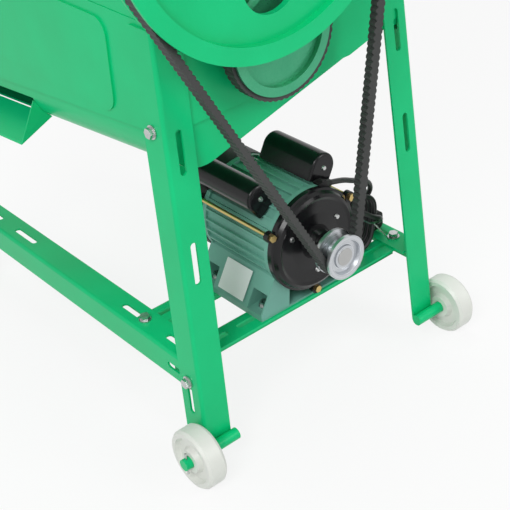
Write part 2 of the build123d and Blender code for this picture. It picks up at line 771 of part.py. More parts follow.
def driven_pulley():
    """Large cast pulley with six round holes in its web."""
    face = pulley_profile(driven_pitch_r, rim_over, pulley_w, 9, driven_hub_r, pulley_w,
                          shaft_r + seat_gap, 8)
    body = revolve(face, Axis.X)
    for k in range(6):
        turn = radians(30 + 60 * k)
        body -= rod(web_hole_r, -20, 20, web_hole_at * cos(turn), web_hole_at * sin(turn))
    return Pos(main_x, rotor_y, rotor_z) * body


def motor_pulley():
    """Small turned pulley: V-groove at the front rim, recessed face and raised hub."""
    rim, floor, top, low = groove(motor_pitch_r, rim_over)
    h = pulley_w / 2 + 0.5
    pts = [(-h, motor_bore), (h - 3, motor_bore), (h - 3, 15.5), (h - 5.5, 16.5),
           (h - 5.5, 22), (h, 24), (h, rim), (top, rim), (low, floor), (-low, floor),
           (-top, rim), (-h, rim)]
    return spun(make_face(Polyline([Vector(x, 0, r) for x, r in pts], close=True)),
                main_x, motor_y, motor_z)


def small_pulley(pitch_r, y, z, bore):
    over = -fan_belt_proud
    face = pulley_profile(pitch_r, over, fan_pulley_w, 6, bore + 12, fan_pulley_w, bore, 7)
    return spun(face, fan_x, y, z)


def belt(c1, r1, c2, r2, x):
    """V-belt round two pulleys: c1 and c2 are (y, z) centres, r1 and r2 pitch radii."""
    dy, dz = c2[0] - c1[0], c2[1] - c1[1]
    d = hypot(dy, dz)
    base = atan2(dz, dy)
    lean = atan2(r2 - r1, sqrt(d * d - (r2 - r1) ** 2))
    normal = [base + radians(90) + lean, base - radians(90) - lean]

    def at(c, r, angle):
        return Vector(x, c[0] + r * cos(angle), c[1] + r * sin(angle))

    a1, a2 = at(c1, r1, normal[0]), at(c2, r2, normal[0])
    b1, b2 = at(c1, r1, normal[1]), at(c2, r2, normal[1])
    path = Wire([Line(a1, a2), ThreePointArc(a2, at(c2, r2, base), b2), Line(b2, b1),
                 ThreePointArc(b1, at(c1, r1, base + radians(180)), a1)])
    out = Vector(0, cos(normal[0]), sin(normal[0]))
    start = a1
    w, h = belt_w / 2, belt_h
    low = w - h * tan(radians(belt_angle))
    side = Vector(1, 0, 0)
    top = start + out * belt_pitch_in
    bottom = start - out * (h - belt_pitch_in)
    corners = [top - side * w, top + side * w, bottom + side * low, bottom - side * low]
    section = make_face(Polyline(corners, close=True))
    return sweep(section, path=path)


main_x = front_x + main_belt_x
fan_x = front_x + fan_belt_x
motor_bore = motor_shaft_r + seat_gap


def rotor_drum():
    """Tube with a disc at each end, on the shaft."""
    h = drum_l / 2
    body = rod(drum_r, -h, h, rotor_y, rotor_z) - rod(drum_r - drum_wall, -h + 6, h - 6, rotor_y, rotor_z)
    return body - rod(shaft_r + seat_gap, -h - 5, h + 5, rotor_y, rotor_z)


def shelling_teeth():
    """Welded teeth in screw lines round the drum."""
    first = -(teeth_per_row - 1) * tooth_pitch / 2
    skin = rod(drum_r + seat_gap, -drum_l, drum_l, 0, 0)
    blank = Pos(0, 0, drum_r + (tooth_tip_r - drum_r) / 2 - 1) * \
        Box(tooth_w, tooth_t, tooth_tip_r - drum_r + 2)
    blank -= skin
    teeth = []
    for k in range(tooth_rows):
        shift = (k % 3 - 1) * tooth_pitch / 3
        for i in range(teeth_per_row):
            x = first + i * tooth_pitch + shift
            teeth.append(Pos(x, rotor_y, rotor_z) * Rot(360 * k / tooth_rows, 0, 0) * blank)
    return teeth


def fan_impeller():
    """Four flat blades on a tube."""
    h = fan_l / 2
    body = rod(fan_shaft_r + 6, -h, h, fan_y, fan_z)
    for k in range(4):
        blade = block(-h, h, -1, 1, fan_shaft_r + 3, fan_r)
        body += Pos(0, fan_y, fan_z) * Rot(45 + 90 * k, 0, 0) * blade
    return body - rod(fan_shaft_r + seat_gap, -h - 5, h + 5, fan_y, fan_z)


# Motor


motor_front = front_x - housing_front
motor_rear = motor_front - housing_l


def finned_section():
    """Housing outline: low fins all round, except where the base meets it."""
    face = Circle(housing_r)
    for k in range(fin_count):
        turn = 360 / fin_count * (k + 0.5)
        if abs(turn - 270) < 42:
            continue
        face += Rot(0, 0, turn) * Pos(housing_r + fin_h / 2 - 1, 0) * Rectangle(fin_h + 2, 2.6)
    return face


def motor_housing():
    face = Plane.YZ * finned_section()
    body = Pos(motor_rear, motor_y, motor_z) * extrude(face, housing_l)
    for x in (motor_front - 8, motor_rear):
        body += rod(housing_r + fin_h, x, x + 8, motor_y, motor_z)
    return body - rod(motor_shaft_r + 1, motor_rear - 5, motor_front + 5, motor_y, motor_z)


def motor_base():
    """Foot: a sloped skirt on each side of the housing and a thin web between them."""
    z0 = cross_top + seat_gap
    low = foot_half
    inner = low - foot_w
    x0, x1 = motor_rear + 3, motor_front - 1
    pts = [(low, z0), (low, z0 + foot_t), (62, z0 + 56), (inner - 4, z0 + 62), (inner - 4, z0 + 40),
           (inner, z0 + base_web), (0, z0 + base_web), (0, z0)]
    body = extrude(yz_face(pts, x0), amount=x1 - x0, dir=(1, 0, 0))
    body += mirror(body, Plane.XZ)
    for x in (front_x - foot_hole_x, front_x - foot_hole_x - foot_b):
        for s in (1, -1):
            y0, y1 = sorted((s * (foot_a / 2 - 13), s * (low + 10)))
            body -= block(x - 14, x + 14, y0, y1, z0 + foot_t, z0 + 34)
            body -= rod_z(foot_hole_r, z0 - 5, z0 + 30, x, s * foot_a / 2)
    body -= rod(housing_r + fin_h + seat_gap, x0 - 5, x1 + 5, 0, motor_z)
    return Pos(0, motor_y, 0) * body


def motor_front_cover():
    """Stepped end shield with three bolt ears and a bearing boss."""
    x = motor_front + seat_gap
    pts = [(0, motor_shaft_r + 1), (27, motor_shaft_r + 1), (27, 19), (19, 22), (13, 24),
           (12, 40), (13, 58), (15, 62), (13, 66), (8, 69), (7, cover_flange_r), (0, cover_flange_r)]
    body = spun(make_face(Polyline([Vector(a, 0, r) for a, r in pts], close=True)), x, motor_y, motor_z)
    for turn in ear_turns:
        y, z = ear_place(turn)
        body += rod(ear_r, x, x + 8, y, z)
        body -= rod(3.3, x - 5, x + 20, y, z)
    return body


def ear_place(turn):
    return (motor_y + ear_bolt_r * cos(radians(turn)), motor_z + ear_bolt_r * sin(radians(turn)))


def motor_through_bolts():
    """Long bolts that clamp both end shields, one in each ear."""
    bolts = []
    for turn in ear_turns:
        y, z = ear_place(turn)
        x0, x1 = motor_rear - 8, motor_front + 8 + seat_gap
        shank = rod(2.8, x0, x1 + 1, y, z)
        head = Pos(x1 + seat_gap, y, z) * extrude(Plane.YZ * RegularPolygon(5.2, 6), 4)
        bolts.append(shank + head)
    return bolts


def motor_cowl():
    """Rear fan cowl with a domed end and air slots."""
    x1 = motor_rear - seat_gap
    x0 = x1 - cowl_l
    r = housing_r + 5
    pts = [(x1, 0), (x1, r), (x0 + 16, r), (x0 + 5, r - 5), (x0, r - 17), (x0, 0)]
    body = revolve(make_face(Polyline([Vector(x, 0, q) for x, q in pts], close=True)), Axis.X)
    body -= rod(r - 10, x0 + 8, x0 + 24, 0, 0)
    body -= rod(motor_shaft_r + 1, x0 + 8, x1 + 5, 0, 0)
    for q in range(6):
        y = -45 + 18 * q
        reach = sqrt((r - 22) ** 2 - y * y)
        body -= block(x0 - 5, x0 + 12, y - 3, y + 3, -reach, reach)
    body = Pos(0, motor_y, motor_z) * body
    for turn in ear_turns:
        y, z = ear_place(turn)
        body += rod(ear_r, x1 - 8, x1, y, z)
        body -= rod(3.3, x1 - 20, x1 + 5, y, z)
    return body


def capacitor_cover(turn, span):
    """D-shaped cover that stands on the housing along its length."""
    w = cap_w / 2
    crown = cap_out - w
    edges = [ThreePointArc((crown, -w), (cap_out, 0), (crown, w)),
             Polyline((crown, w), (cap_in, w), (cap_in, -w), (crown, -w))]
    face = Plane.YZ * make_face(Curve() + edges)
    x1, x0 = front_x - span[0], front_x - span[1]
    body = extrude(face, x1 - x0)
    ends = [e for e in body.edges().filter_by(GeomType.CIRCLE)]
    body = fillet(ends, 4)
    return Pos(x0, motor_y, motor_z) * Rot(turn, 0, 0) * body


# Power cord


def cord_tube(points, name):
    """Tube along straight runs joined by arcs as large as the runs allow."""
    pts = [Vector(*p) for p in points]
    radii = []
    for a, b, c in zip(pts, pts[1:], pts[2:]):
        turn = radians((b - a).get_angle(c - b))
        radii.append(0.45 * min((b - a).length, (c - b).length) / tan(turn / 2))
    print(name, "bend radii", [round(r, 1) for r in radii])
    path = FilletPolyline(*pts, radius=radii)
    end = Plane(origin=pts[0], z_dir=pts[1] - pts[0])
    tube = sweep(end * Circle(cord_d / 2), path=path)
    print(name, "volume", round(tube.volume), "section x length",
          round(3.14159 * cord_d ** 2 / 4 * path.length))
    return tube


def cord_gland():
    """Tapered strain relief that the cord leaves, on a small block on the housing."""
    a, b = Vector(*cord_route[0]), Vector(*cord_route[1])
    out = (b - a).normalized()
    start = a - out * gland_l
    cone = Solid.make_cone(gland_r, cord_d / 2 + 1.2, gland_l, Plane(origin=start, z_dir=out))
    foot = Pos(start.X, start.Y + 3, start.Z - 4) * Box(15, 13, 16)
    body = foot + cone - rod(cover_flange_r + 20, motor_front, motor_front + 40, motor_y, motor_z)
    return body - rod(housing_r + fin_h + seat_gap, motor_rear, motor_front + 60, motor_y, motor_z)


def cord_hank():
    """Outer shape of the folded cord: a flat oval ring that stands on the front motor rail."""
    t = hank_turns * cord_d
    r = hank_w / 2
    oval = SlotOverall(hank_h, hank_w, 90) - SlotOverall(hank_h - 4 * cord_d + 8, hank_w - 4 * cord_d + 8, 90)
    body = extrude(Plane.YZ * oval, t / 2, both=True)
    low = cross_top + seat_gap
    body = Rot(-hank_lean, 0, 0) * body
    drop = body.bounding_box().min.Z
    return Pos(hank_c[0], hank_c[1], low - drop) * body


def plug():
    """Moulded plug that lies on the far side rail, with three flat blades."""
    l, w, h = plug_size
    x1 = lead_route[-1][0]
    y, z = plug_y, rail_top + seat_gap + h / 2
    body = fillet(Box(l, w, h).edges().filter_by(Axis.X), 7)
    body = Pos(x1 - l / 2, y, z) * body
    for dy, dz in ((0, 7), (-6, -5), (6, -5)):
        body += block(x1 - l - 16, x1 - l + 1, y + dy - 3, y + dy + 3, z + dz - 0.9, z + dz + 0.9)
    return body


def cord_tie():
    """Wire tie round one side of the hank, with its tail run to the rail's bolt."""
    z = cross_top + tie_z
    half = hank_turns * cord_d / 2 + seat_gap
    side = hank_w / 2 - cord_d
    ring = Box(2 * (half + 2 * tie_r), 2 * cord_d + 4, 2 * tie_r) - Box(2 * half, 2 * cord_d + 0.4, 5)
    ring = Pos(hank_c[0], hank_c[1], z) * Rot(-hank_lean, 0, 0) * Pos(0, side, 0) * ring
    start = Vector(hank_c[0] + half + tie_r, hank_c[1] + side * cos(radians(hank_lean)), z - 7)
    end = Vector(front_rail, rail_half - angle_w / 2 - bolt_flange_r - 1, rail_top + tie_r + seat_gap)
    run = end - start
    tail = Solid.make_cylinder(tie_r, run.length, Plane(origin=start, z_dir=run))
    return ring + tail


def save(name, shape):
    """Write one node; a list of solids becomes one group."""
    if isinstance(shape, list):
        shape = Compound(children=shape)
    shape.label = name
    export_step(shape, os.path.join(out_dir, name + ".step"))


def rail_leg_bolts():
    """Bolts through each leg's slot and the side rail's, square to the rail."""
    bolts = []
    for x, y, sx, sy in leg_bolt_places(rail_bolt_z):
        grip = abs(y) + 0.4 - (rail_half - angle_t) + 0.1
        bolts.append(Pos(x, y + sy * 0.4, rail_bolt_z) * Rot(-sy * 90, 0, 0) * bolt(grip))
    return bolts


def casing_bolts():
    """Bolts that hold the casing, and at the front the trough too, in the legs."""
    bolts = []
    tilt = degrees(atan2(splay_y, 1))
    for x, y, sx, sy in leg_bolt_places(casing_bolt_z):
        grip = angle_t + sheet + 0.6 + (sheet + 1.0 if sx > 0 else 0)
        bolts.append(Pos(x, y + sy * 0.1, casing_bolt_z) * Rot(sy * (tilt - 90), 0, 0) * bolt(grip))
    return bolts


def rail_bolts():
    grip = 2 * angle_t + 0.2
    return [Pos(x, sy * (rail_half - angle_w / 2), rail_top + 0.1) * bolt(grip)
            for x in (front_rail, rear_rail) for sy in (1, -1)]


def motor_bolts():
    grip = foot_t + angle_t + 0.3
    return [Pos(front_x - foot_hole_x - dx, motor_y + s * foot_a / 2, cross_top + foot_t + 0.15) * bolt(grip)
            for dx in (0, foot_b) for s in (1, -1)]


def cover_bolts():
    grip = 2 * sheet + 0.3
    return [Pos(x, rotor_y + s * (cover_r + cover_bolt_out), rotor_z + 0.2 + sheet) * bolt(grip)
            for x in cover_bolt_x() for s in (1, -1)]


def main():
    os.makedirs(out_dir, exist_ok=True)
    near = [leg_slot_z, leg_slot_z + leg_slot_pitch]
    far = [z + 32 for z in near]
    side = [rail_bolt_z - 21]
    save("leg_front_near", leg(1, -1, front_lift, near, side))
    save("leg_front_far", leg(1, 1, front_lift, far, side))
    save("leg_rear_near", leg(-1, -1, 0, near, side))
    save("leg_rear_far", leg(-1, 1, 0, far, side))
    save("side_rail_near", side_rail(-1))
    save("side_rail_far", side_rail(1))
    save("motor_rail_front", motor_rail(front_rail))
    save("motor_rail_rear", motor_rail(rear_rail))
    save("axle_near", axle(-1))
    save("axle_far", axle(1))
    save("wheel_near", wheel(-1))
    save("wheel_far", wheel(1))
    save("axle_split_pins", split_pins())
    save("leg_casing_bolts", casing_bolts())
    save("leg_rail_bolts", rail_leg_bolts())
    save("cross_rail_bolts", rail_bolts())
    save("motor_foot_bolts", motor_bolts())
    save("lower_casing", lower_casing())
    save("grain_trough", grain_trough())
    save("kernel_chute", kernel_chute())
    save("drum_end_front", drum_end(1))
    save("drum_end_rear", drum_end(-1))
    save("side_panel_near", side_panel(-1))
    save("side_panel_far", side_panel(1))
    save("drum_cover", drum_cover())
    save("cover_bolts", cover_bolts())
    save("concave_screen", concave_screen())
    save("grain_board", grain_board())
    save("feed_throat", feed_throat())
    save("hopper_gate", hopper_gate())
    save("feed_hopper", feed_hopper())
    save("cob_outlet", cob_outlet())
    save("outlet_flap", outlet_flap())
    save("rotor_shaft", rod(shaft_r, -end_x - bearing_l - 6, main_x + pulley_w / 2 + 6, rotor_y, rotor_z))
    save("rotor_drum", rotor_drum())
    save("shelling_teeth", shelling_teeth())
    for name, s in (("rotor_bearing_front", 1), ("rotor_bearing_rear", -1)):
        save(name, bearing(s, shaft_r + run_gap, rotor_y, rotor_z, s * (end_x + seat_gap), 27, bearing_l))
    save("driven_pulley", driven_pulley())
    save("fan_drive_pulley", small_pulley(fan_drive_pitch_r, rotor_y, rotor_z, shaft_r + seat_gap))
    save("main_belt", belt((motor_y, motor_z), motor_pitch_r, (rotor_y, rotor_z), driven_pitch_r, main_x))
    save("fan_belt", belt((fan_y, fan_z), fan_pitch_r, (rotor_y, rotor_z), fan_drive_pitch_r, fan_x))
    fan_end = casing_half(fan_z, 0)[0]
    save("fan_shaft", rod(fan_shaft_r, -fan_end - 22, fan_x + fan_pulley_w / 2 + shaft_end, fan_y, fan_z))
    save("fan_impeller", fan_impeller())
    save("fan_pulley", small_pulley(fan_pitch_r, fan_y, fan_z, fan_shaft_r + seat_gap))
    save("fan_bearings", [bearing(s, fan_shaft_r + run_gap, fan_y, fan_z, s * fan_bearing_x, 20,
                                  fan_bearing_l) for s in (1, -1)])
    save("motor_housing", motor_housing())
    save("motor_base", motor_base())
    save("motor_front_cover", motor_front_cover())
    save("motor_cowl", motor_cowl())
    save("motor_through_bolts", motor_through_bolts())
    save("motor_shaft", rod(motor_shaft_r, motor_rear - 24, main_x + pulley_w / 2 - 2, motor_y, motor_z))
    save("motor_pulley", motor_pulley())
    save("capacitor_cover_far", capacitor_cover(cap_far_turn, cap_far_span))
    save("capacitor_cover_near", capacitor_cover(cap_near_turn, cap_near_span))
    save("cord_gland", cord_gland())
    save("power_cord", Compound(children=[cord_tube(cord_route, "lead"), cord_tube(lead_route, "plug lead")]))
    save("cord_hank", cord_hank())
    save("power_plug", plug())
    save("cord_tie", cord_tie())


fan_bearing_x = casing_half(fan_z - 31, 0)[0] + seat_gap

main()
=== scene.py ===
import json
from math import asin, atan2, cos, hypot, pi, radians, sin, tan

import bmesh
import bpy
from mathutils import Matrix, Vector


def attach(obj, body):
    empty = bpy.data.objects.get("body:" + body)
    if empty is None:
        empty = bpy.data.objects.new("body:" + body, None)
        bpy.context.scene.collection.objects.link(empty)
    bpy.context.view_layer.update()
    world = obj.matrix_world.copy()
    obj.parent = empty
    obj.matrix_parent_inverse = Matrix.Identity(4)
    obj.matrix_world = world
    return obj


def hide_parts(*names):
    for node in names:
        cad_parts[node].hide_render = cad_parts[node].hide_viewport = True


# Corn sheller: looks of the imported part. Metres, +Z up, the belts at +X, the grain side at -Y.
# The dictionaries of cord, belts, screws and sticker are in millimetres.

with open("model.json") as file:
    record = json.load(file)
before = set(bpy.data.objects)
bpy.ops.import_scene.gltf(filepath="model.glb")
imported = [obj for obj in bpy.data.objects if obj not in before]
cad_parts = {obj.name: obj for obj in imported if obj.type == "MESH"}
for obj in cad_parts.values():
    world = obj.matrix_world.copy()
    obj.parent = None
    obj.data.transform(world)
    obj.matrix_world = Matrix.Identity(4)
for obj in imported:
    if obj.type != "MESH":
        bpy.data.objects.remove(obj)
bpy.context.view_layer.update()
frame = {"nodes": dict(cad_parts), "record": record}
scene = bpy.context.scene
mm = 0.001

# Camera

view = {"azimuth": 53.274, "elevation": 32.839, "roll": -5.985, "lens": 84.35, "sensor": 36,
        "at": (1.3000, -0.8366, 1.0753)}


def addCamera():
    a, e, r = (radians(view[k]) for k in ("azimuth", "elevation", "roll"))
    back = Vector((sin(a) * cos(e), -cos(a) * cos(e), sin(e)))
    right = (-back).cross(Vector((0, 0, 1))).normalized()
    up = right.cross(-back)
    turnedRight = right * cos(r) + up * sin(r)
    turnedUp = up * cos(r) - right * sin(r)
    data = bpy.data.cameras.new("camera")
    data.sensor_width = view["sensor"]
    data.lens = view["lens"]
    camera = bpy.data.objects.new("camera", data)
    scene.collection.objects.link(camera)
    turn = Matrix((turnedRight, turnedUp, back)).transposed().to_4x4()
    camera.matrix_world = Matrix.Translation(view["at"]) @ turn
    scene.camera = camera


addCamera()
print("camera")

# Cord

cord = {
    "radius": 3.75,
    "lead": [(276.0, 60.0, 299.5), (273.5, 77.0, 294.0), (268.0, 95.0, 285.5),
             (262.5, 113.0, 274.5), (257.0, 130.0, 266.0), (252.0, 146.0, 257.0),
             (247.5, 159.0, 245.0), (243.5, 164.0, 231.0), (239.0, 158.5, 219.0)],
    "plugLead": [(260.5, 153.0, 197.0), (259.0, 165.0, 191.0), (252.0, 173.5, 182.0),
                 (243.5, 179.0, 172.5), (235.0, 180.5, 167.0)],
    "middle": (249.5, 133.0, 193.7),
    "lean": 14.0,  # degrees, the bundle out of the upright
    "turnR": 22.5, "straight": 17.75, "pitch": 7.9, "turns": 2.82,
    "first": 36.0,  # degrees up the first fold where the lead comes in
    "perTurn": 24, "roundSteps": 6, "pathSteps": 6, "order": 3,
}


# Point of the bundle this many turns along it
def hankPoint(turn):
    r, h = cord["turnR"], cord["straight"]
    lap = 2 * pi * r + 4 * h
    along = (turn * lap + r * radians(90 - cord["first"])) % lap
    arc = pi * r
    if along < arc / 2:
        local = (r * sin(along / r), h + r * cos(along / r))
    elif along < arc / 2 + 2 * h:
        local = (r, h - (along - arc / 2))
    elif along < arc * 1.5 + 2 * h:
        t = (along - arc / 2 - 2 * h) / r
        local = (r * cos(t), -h - r * sin(t))
    elif along < arc * 1.5 + 4 * h:
        local = (-r, -h + along - arc * 1.5 - 2 * h)
    else:
        t = (along - arc * 1.5 - 4 * h) / r
        local = (-r * cos(t), h + r * sin(t))
    x, y, z = cord["middle"]
    a = radians(cord["lean"])
    return (x + (turn - cord["turns"] / 2) * cord["pitch"],
            y + local[0] * cos(a) + local[1] * sin(a),
            z - local[0] * sin(a) + local[1] * cos(a))


def addCord():
    count = int(cord["turns"] * cord["perTurn"])
    hank = [hankPoint(cord["turns"] * i / count) for i in range(1, count)]
    points = [Vector(p) * mm for p in cord["lead"] + hank + cord["plugLead"]]
    curve = bpy.data.curves.new("powerCord", "CURVE")
    curve.dimensions = "3D"
    curve.bevel_depth = cord["radius"] * mm
    curve.bevel_resolution = cord["roundSteps"]
    curve.resolution_u = cord["pathSteps"]
    curve.use_fill_caps = True
    spline = curve.splines.new("NURBS")
    spline.points.add(len(points) - 1)
    for place, point in zip(spline.points, points):
        place.co = (*point, 1)
    spline.order_u = cord["order"]
    spline.use_endpoint_u = True
    flex = bpy.data.objects.new("powerCord", curve)
    scene.collection.objects.link(flex)
    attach(flex, "machine_body")
    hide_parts("power_cord", "cord_hank")
    length = sum((b - a).length for a, b in zip(points, points[1:]))
    print("cord length by its points", round(length, 3))
    return flex


powerCord = addCord()
print("cord")

# Materials


# A shader socket that takes part in sums
class Wire:
    def __init__(self, tree, socket):
        self.tree = tree
        self.socket = socket

    def node(self, kind, inputs=(), **settings):
        new = self.tree.nodes.new(kind)
        for key, value in settings.items():
            setattr(new, key, value)
        for key, value in dict(inputs).items():
            if isinstance(value, Wire):
                self.tree.links.new(value.socket, new.inputs[key])
            else:
                new.inputs[key].default_value = value
        return new

    def maths(self, operation, other):
        new = self.node("ShaderNodeMath", {0: self, 1: other}, operation=operation)
        return Wire(self.tree, new.outputs[0])

    def __add__(self, other):
        return self.maths("ADD", other)

    def __sub__(self, other):
        return self.maths("SUBTRACT", other)

    def __mul__(self, other):
        return self.maths("MULTIPLY", other)

    def power(self, other):
        return self.maths("POWER", other)

    def noise(self, scale, detail, stretch=(1, 1, 1)):
        spread = self.node("ShaderNodeVectorMath", {0: self, 1: stretch}, operation="MULTIPLY")
        made = self.node("ShaderNodeTexNoise", {"Vector": Wire(self.tree, spread.outputs[0]),
                                                "Scale": scale, "Detail": detail})
        return Wire(self.tree, made.outputs["Fac"])

    def colours(self, low, high):
        mix = self.node("ShaderNodeMix", data_type="RGBA")
        self.tree.links.new(self.socket, mix.inputs["Factor"])
        mix.inputs[6].default_value = (*low, 1)
        mix.inputs[7].default_value = (*high, 1)
        return Wire(self.tree, mix.outputs[2])


def startMaterial(name):
    material = bpy.data.materials.new(name)
    material.use_nodes = True
    tree = material.node_tree
    shader = tree.nodes["Principled BSDF"]
    place = tree.nodes.new("ShaderNodeTexCoord")
    return material, shader, Wire(tree, place.outputs["Object"])


def addBump(place, height, shader, strength, depth):
    lift = place.node("ShaderNodeBump", {"Height": height, "Strength": strength, "Distance": depth})
    place.tree.links.new(lift.outputs[0], shader.inputs["Normal"])


paint = {"driftShare": 0.8, "grainShare": 0.2, "driftDetail": 4.0, "grainDetail": 2.0,
         "grainDepth": 0.0006}


# Finish whose colour and gloss drift in patches, with a fine grain in its surface
def addFinish(name, low, high, rough, metallic=0.0, patch=14.0, grain=900.0, bump=0.05,
              stretch=(1, 1, 1), roughSpread=0.12, specular=0.5):
    material, shader, place = startMaterial(name)
    tree = place.tree
    drift = place.noise(patch, paint["driftDetail"])
    fine = place.noise(grain, paint["grainDetail"], stretch)
    blend = drift * paint["driftShare"] + fine * paint["grainShare"]
    gloss = (drift - 0.5) * roughSpread + (fine - 0.5) * (roughSpread / 2) + rough
    tree.links.new(blend.colours(low, high).socket, shader.inputs["Base Color"])
    tree.links.new(gloss.socket, shader.inputs["Roughness"])
    shader.inputs["Metallic"].default_value = metallic
    shader.inputs["Specular IOR Level"].default_value = specular
    addBump(place, fine, shader, bump, paint["grainDepth"])
    return material


turned = {"rings": 900.0, "roughSpread": 0.2, "bump": 0.25, "depth": 0.0003}


# Metal with rings round an axis along X through (y, z)
def addTurned(name, low, high, rough, axis):
    material, shader, place = startMaterial(name)
    tree = place.tree
    split = place.node("ShaderNodeSeparateXYZ", {0: place})
    y = Wire(tree, split.outputs[1]) - axis[0]
    z = Wire(tree, split.outputs[2]) - axis[1]
    radius = (y * y + z * z).power(0.5)
    made = place.node("ShaderNodeTexNoise", {"W": radius, "Scale": turned["rings"]},
                      noise_dimensions="1D")
    ring = Wire(tree, made.outputs["Fac"])
    tree.links.new(ring.colours(low, high).socket, shader.inputs["Base Color"])
    tree.links.new((ring * turned["roughSpread"] + rough).socket, shader.inputs["Roughness"])
    shader.inputs["Metallic"].default_value = 1.0
    addBump(place, ring, shader, turned["bump"], turned["depth"])
    return material


finishes = {
    "green_paint": addFinish("greenPaint", (0.002, 0.48, 0.17), (0.004, 0.62, 0.23), 0.32,
                             specular=0.2, bump=0.06, grain=500.0),
    "cast_paint": addFinish("castPaint", (0.004, 0.24, 0.09), (0.01, 0.34, 0.13), 0.42,
                            grain=700.0, bump=0.5, specular=0.25),
    "teal_paint": addFinish("tealPaint", (0.13, 0.34, 0.275), (0.19, 0.45, 0.37), 0.38,
                            grain=650.0, bump=0.3, specular=0.25),
    "black_gloss": addFinish("blackGloss", (0.004, 0.004, 0.005), (0.008, 0.008, 0.009), 0.2,
                             specular=0.3, roughSpread=0.06, bump=0.03),
    "black_plastic": addFinish("blackPlastic", (0.008, 0.008, 0.008), (0.018, 0.018, 0.018), 0.5,
                               bump=0.2, specular=0.25),
    "zinc_steel": addFinish("zincSteel", (0.42, 0.43, 0.43), (0.66, 0.67, 0.66), 0.28, 1.0,
                            patch=120.0),
    "bare_steel": addFinish("bareSteel", (0.36, 0.36, 0.36), (0.55, 0.55, 0.54), 0.3, 1.0,
                            stretch=(0.1, 1, 1), bump=0.15),
    "mill_steel": addFinish("millSteel", (0.16, 0.15, 0.15), (0.30, 0.29, 0.29), 0.45, 1.0,
                            bump=0.3),
    "turned_aluminium": addTurned("turnedMotorPulley", (0.38, 0.40, 0.42), (0.74, 0.76, 0.79),
                                  0.2, (0.0124, 0.2402)),
    "belt_rubber": addFinish("beltRubber", (0.018, 0.019, 0.019), (0.05, 0.052, 0.05), 0.62,
                             bump=0.3),
    "cord_rubber": addFinish("cordRubber", (0.010, 0.010, 0.011), (0.022, 0.022, 0.023), 0.4,
                             bump=0.1),
    "white_nylon": addFinish("whiteNylon", (0.66, 0.68, 0.63), (0.82, 0.83, 0.79), 0.38,
                             bump=0.1),
}
pulleyGreen = addFinish("hammeredGreen", (0.01, 0.30, 0.14), (0.12, 0.50, 0.28), 0.3, 0.4,
                        grain=260.0, bump=0.7, specular=0.3)
brass = addFinish("yellowZinc", (0.50, 0.36, 0.12), (0.66, 0.50, 0.22), 0.3, 1.0)
blankSticker = addFinish("blankSticker", (0.80, 0.84, 0.84), (0.88, 0.92, 0.92), 0.35, bump=0.02)

slots = {entry["node"]: entry["material_slot"] for entry in frame["record"]["subparts"]}
special = {"fan_pulley": pulleyGreen, "fan_drive_pulley": pulleyGreen,
           "motor_through_bolts": brass,
           "axle_near": finishes["green_paint"], "axle_far": finishes["green_paint"]}
for name, node in frame["nodes"].items():
    material = special.get(name, finishes[slots[name]])
    node.data.materials.clear()
    node.data.materials.append(material)
powerCord.data.materials.append(finishes["cord_rubber"])
print("materials")

# Pieces


def addPiece(name, mesh, material, body):
    data = bpy.data.meshes.new(name)
    mesh.to_mesh(data)
    mesh.free()
    data.materials.append(material)
    piece = bpy.data.objects.new(name, data)
    scene.collection.objects.link(piece)
    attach(piece, body)
    return piece


# Prism, cylinder or cone along +X whose back face is centred on at
def alongX(at, radius, length, sides, mesh, tip=None):
    middle = Matrix.Translation(Vector(at) + Vector((length / 2, 0, 0)))
    bmesh.ops.create_cone(mesh, cap_ends=True, segments=sides, radius1=radius,
                          radius2=radius if tip is None else tip, depth=length,
                          matrix=middle @ Matrix.Rotation(radians(90), 4, "Y"))


# A pulley is the y and z of its axis and its pitch radius
belts = [
    {"name": "mainBelt", "node": "main_belt", "x": 341.5, "small": (12.4, 240.2, 26.0),
     "large": (-65.0, 737.0, 190.5)},
    {"name": "fanBelt", "node": "fan_belt", "x": 316.0, "small": (-38.0, 550.0, 73.0),
     "large": (-65.0, 737.0, 86.0)},
]
beltSize = {"halfWidth": 8.5, "back": 4.0, "inner": 6.5, "wedge": 19.0, "cog": 8.2,
            "perCog": 8, "backNotch": 1.1, "innerNotch": 2.6}


# Points of the pitch line with their outward directions, perCog of them in each cog
def loopSamples(belt):
    y1, z1, r1 = belt["small"]
    y2, z2, r2 = belt["large"]
    apart = hypot(y2 - y1, z2 - z1)
    base = atan2(z2 - z1, y2 - y1)
    lean = asin((r2 - r1) / apart)
    run = apart * cos(lean)
    left, right = base + pi / 2 + lean, base - pi / 2 - lean
    parts = [(run, None), (r2 * (pi + 2 * lean), (y2, z2, r2, left)), (run, None),
             (r1 * (pi - 2 * lean), (y1, z1, r1, right))]
    starts = {0: (y1, z1, r1, left, base + lean), 2: (y2, z2, r2, right, base + pi - lean)}
    whole = sum(p[0] for p in parts)
    count = round(whole / beltSize["cog"]) * beltSize["perCog"]
    samples = []
    for i in range(count):
        s = whole * i / count
        k = 0
        while s >= parts[k][0] and k < 3:
            s -= parts[k][0]
            k += 1
        if parts[k][1]:
            y, z, r, first = parts[k][1]
            turn = first - s / r
            samples.append((y + r * cos(turn), z + r * sin(turn), turn))
        else:
            y, z, r, normal, ahead = starts[k]
            samples.append((y + r * cos(normal) + s * cos(ahead),
                            z + r * sin(normal) + s * sin(ahead), normal))
    return samples


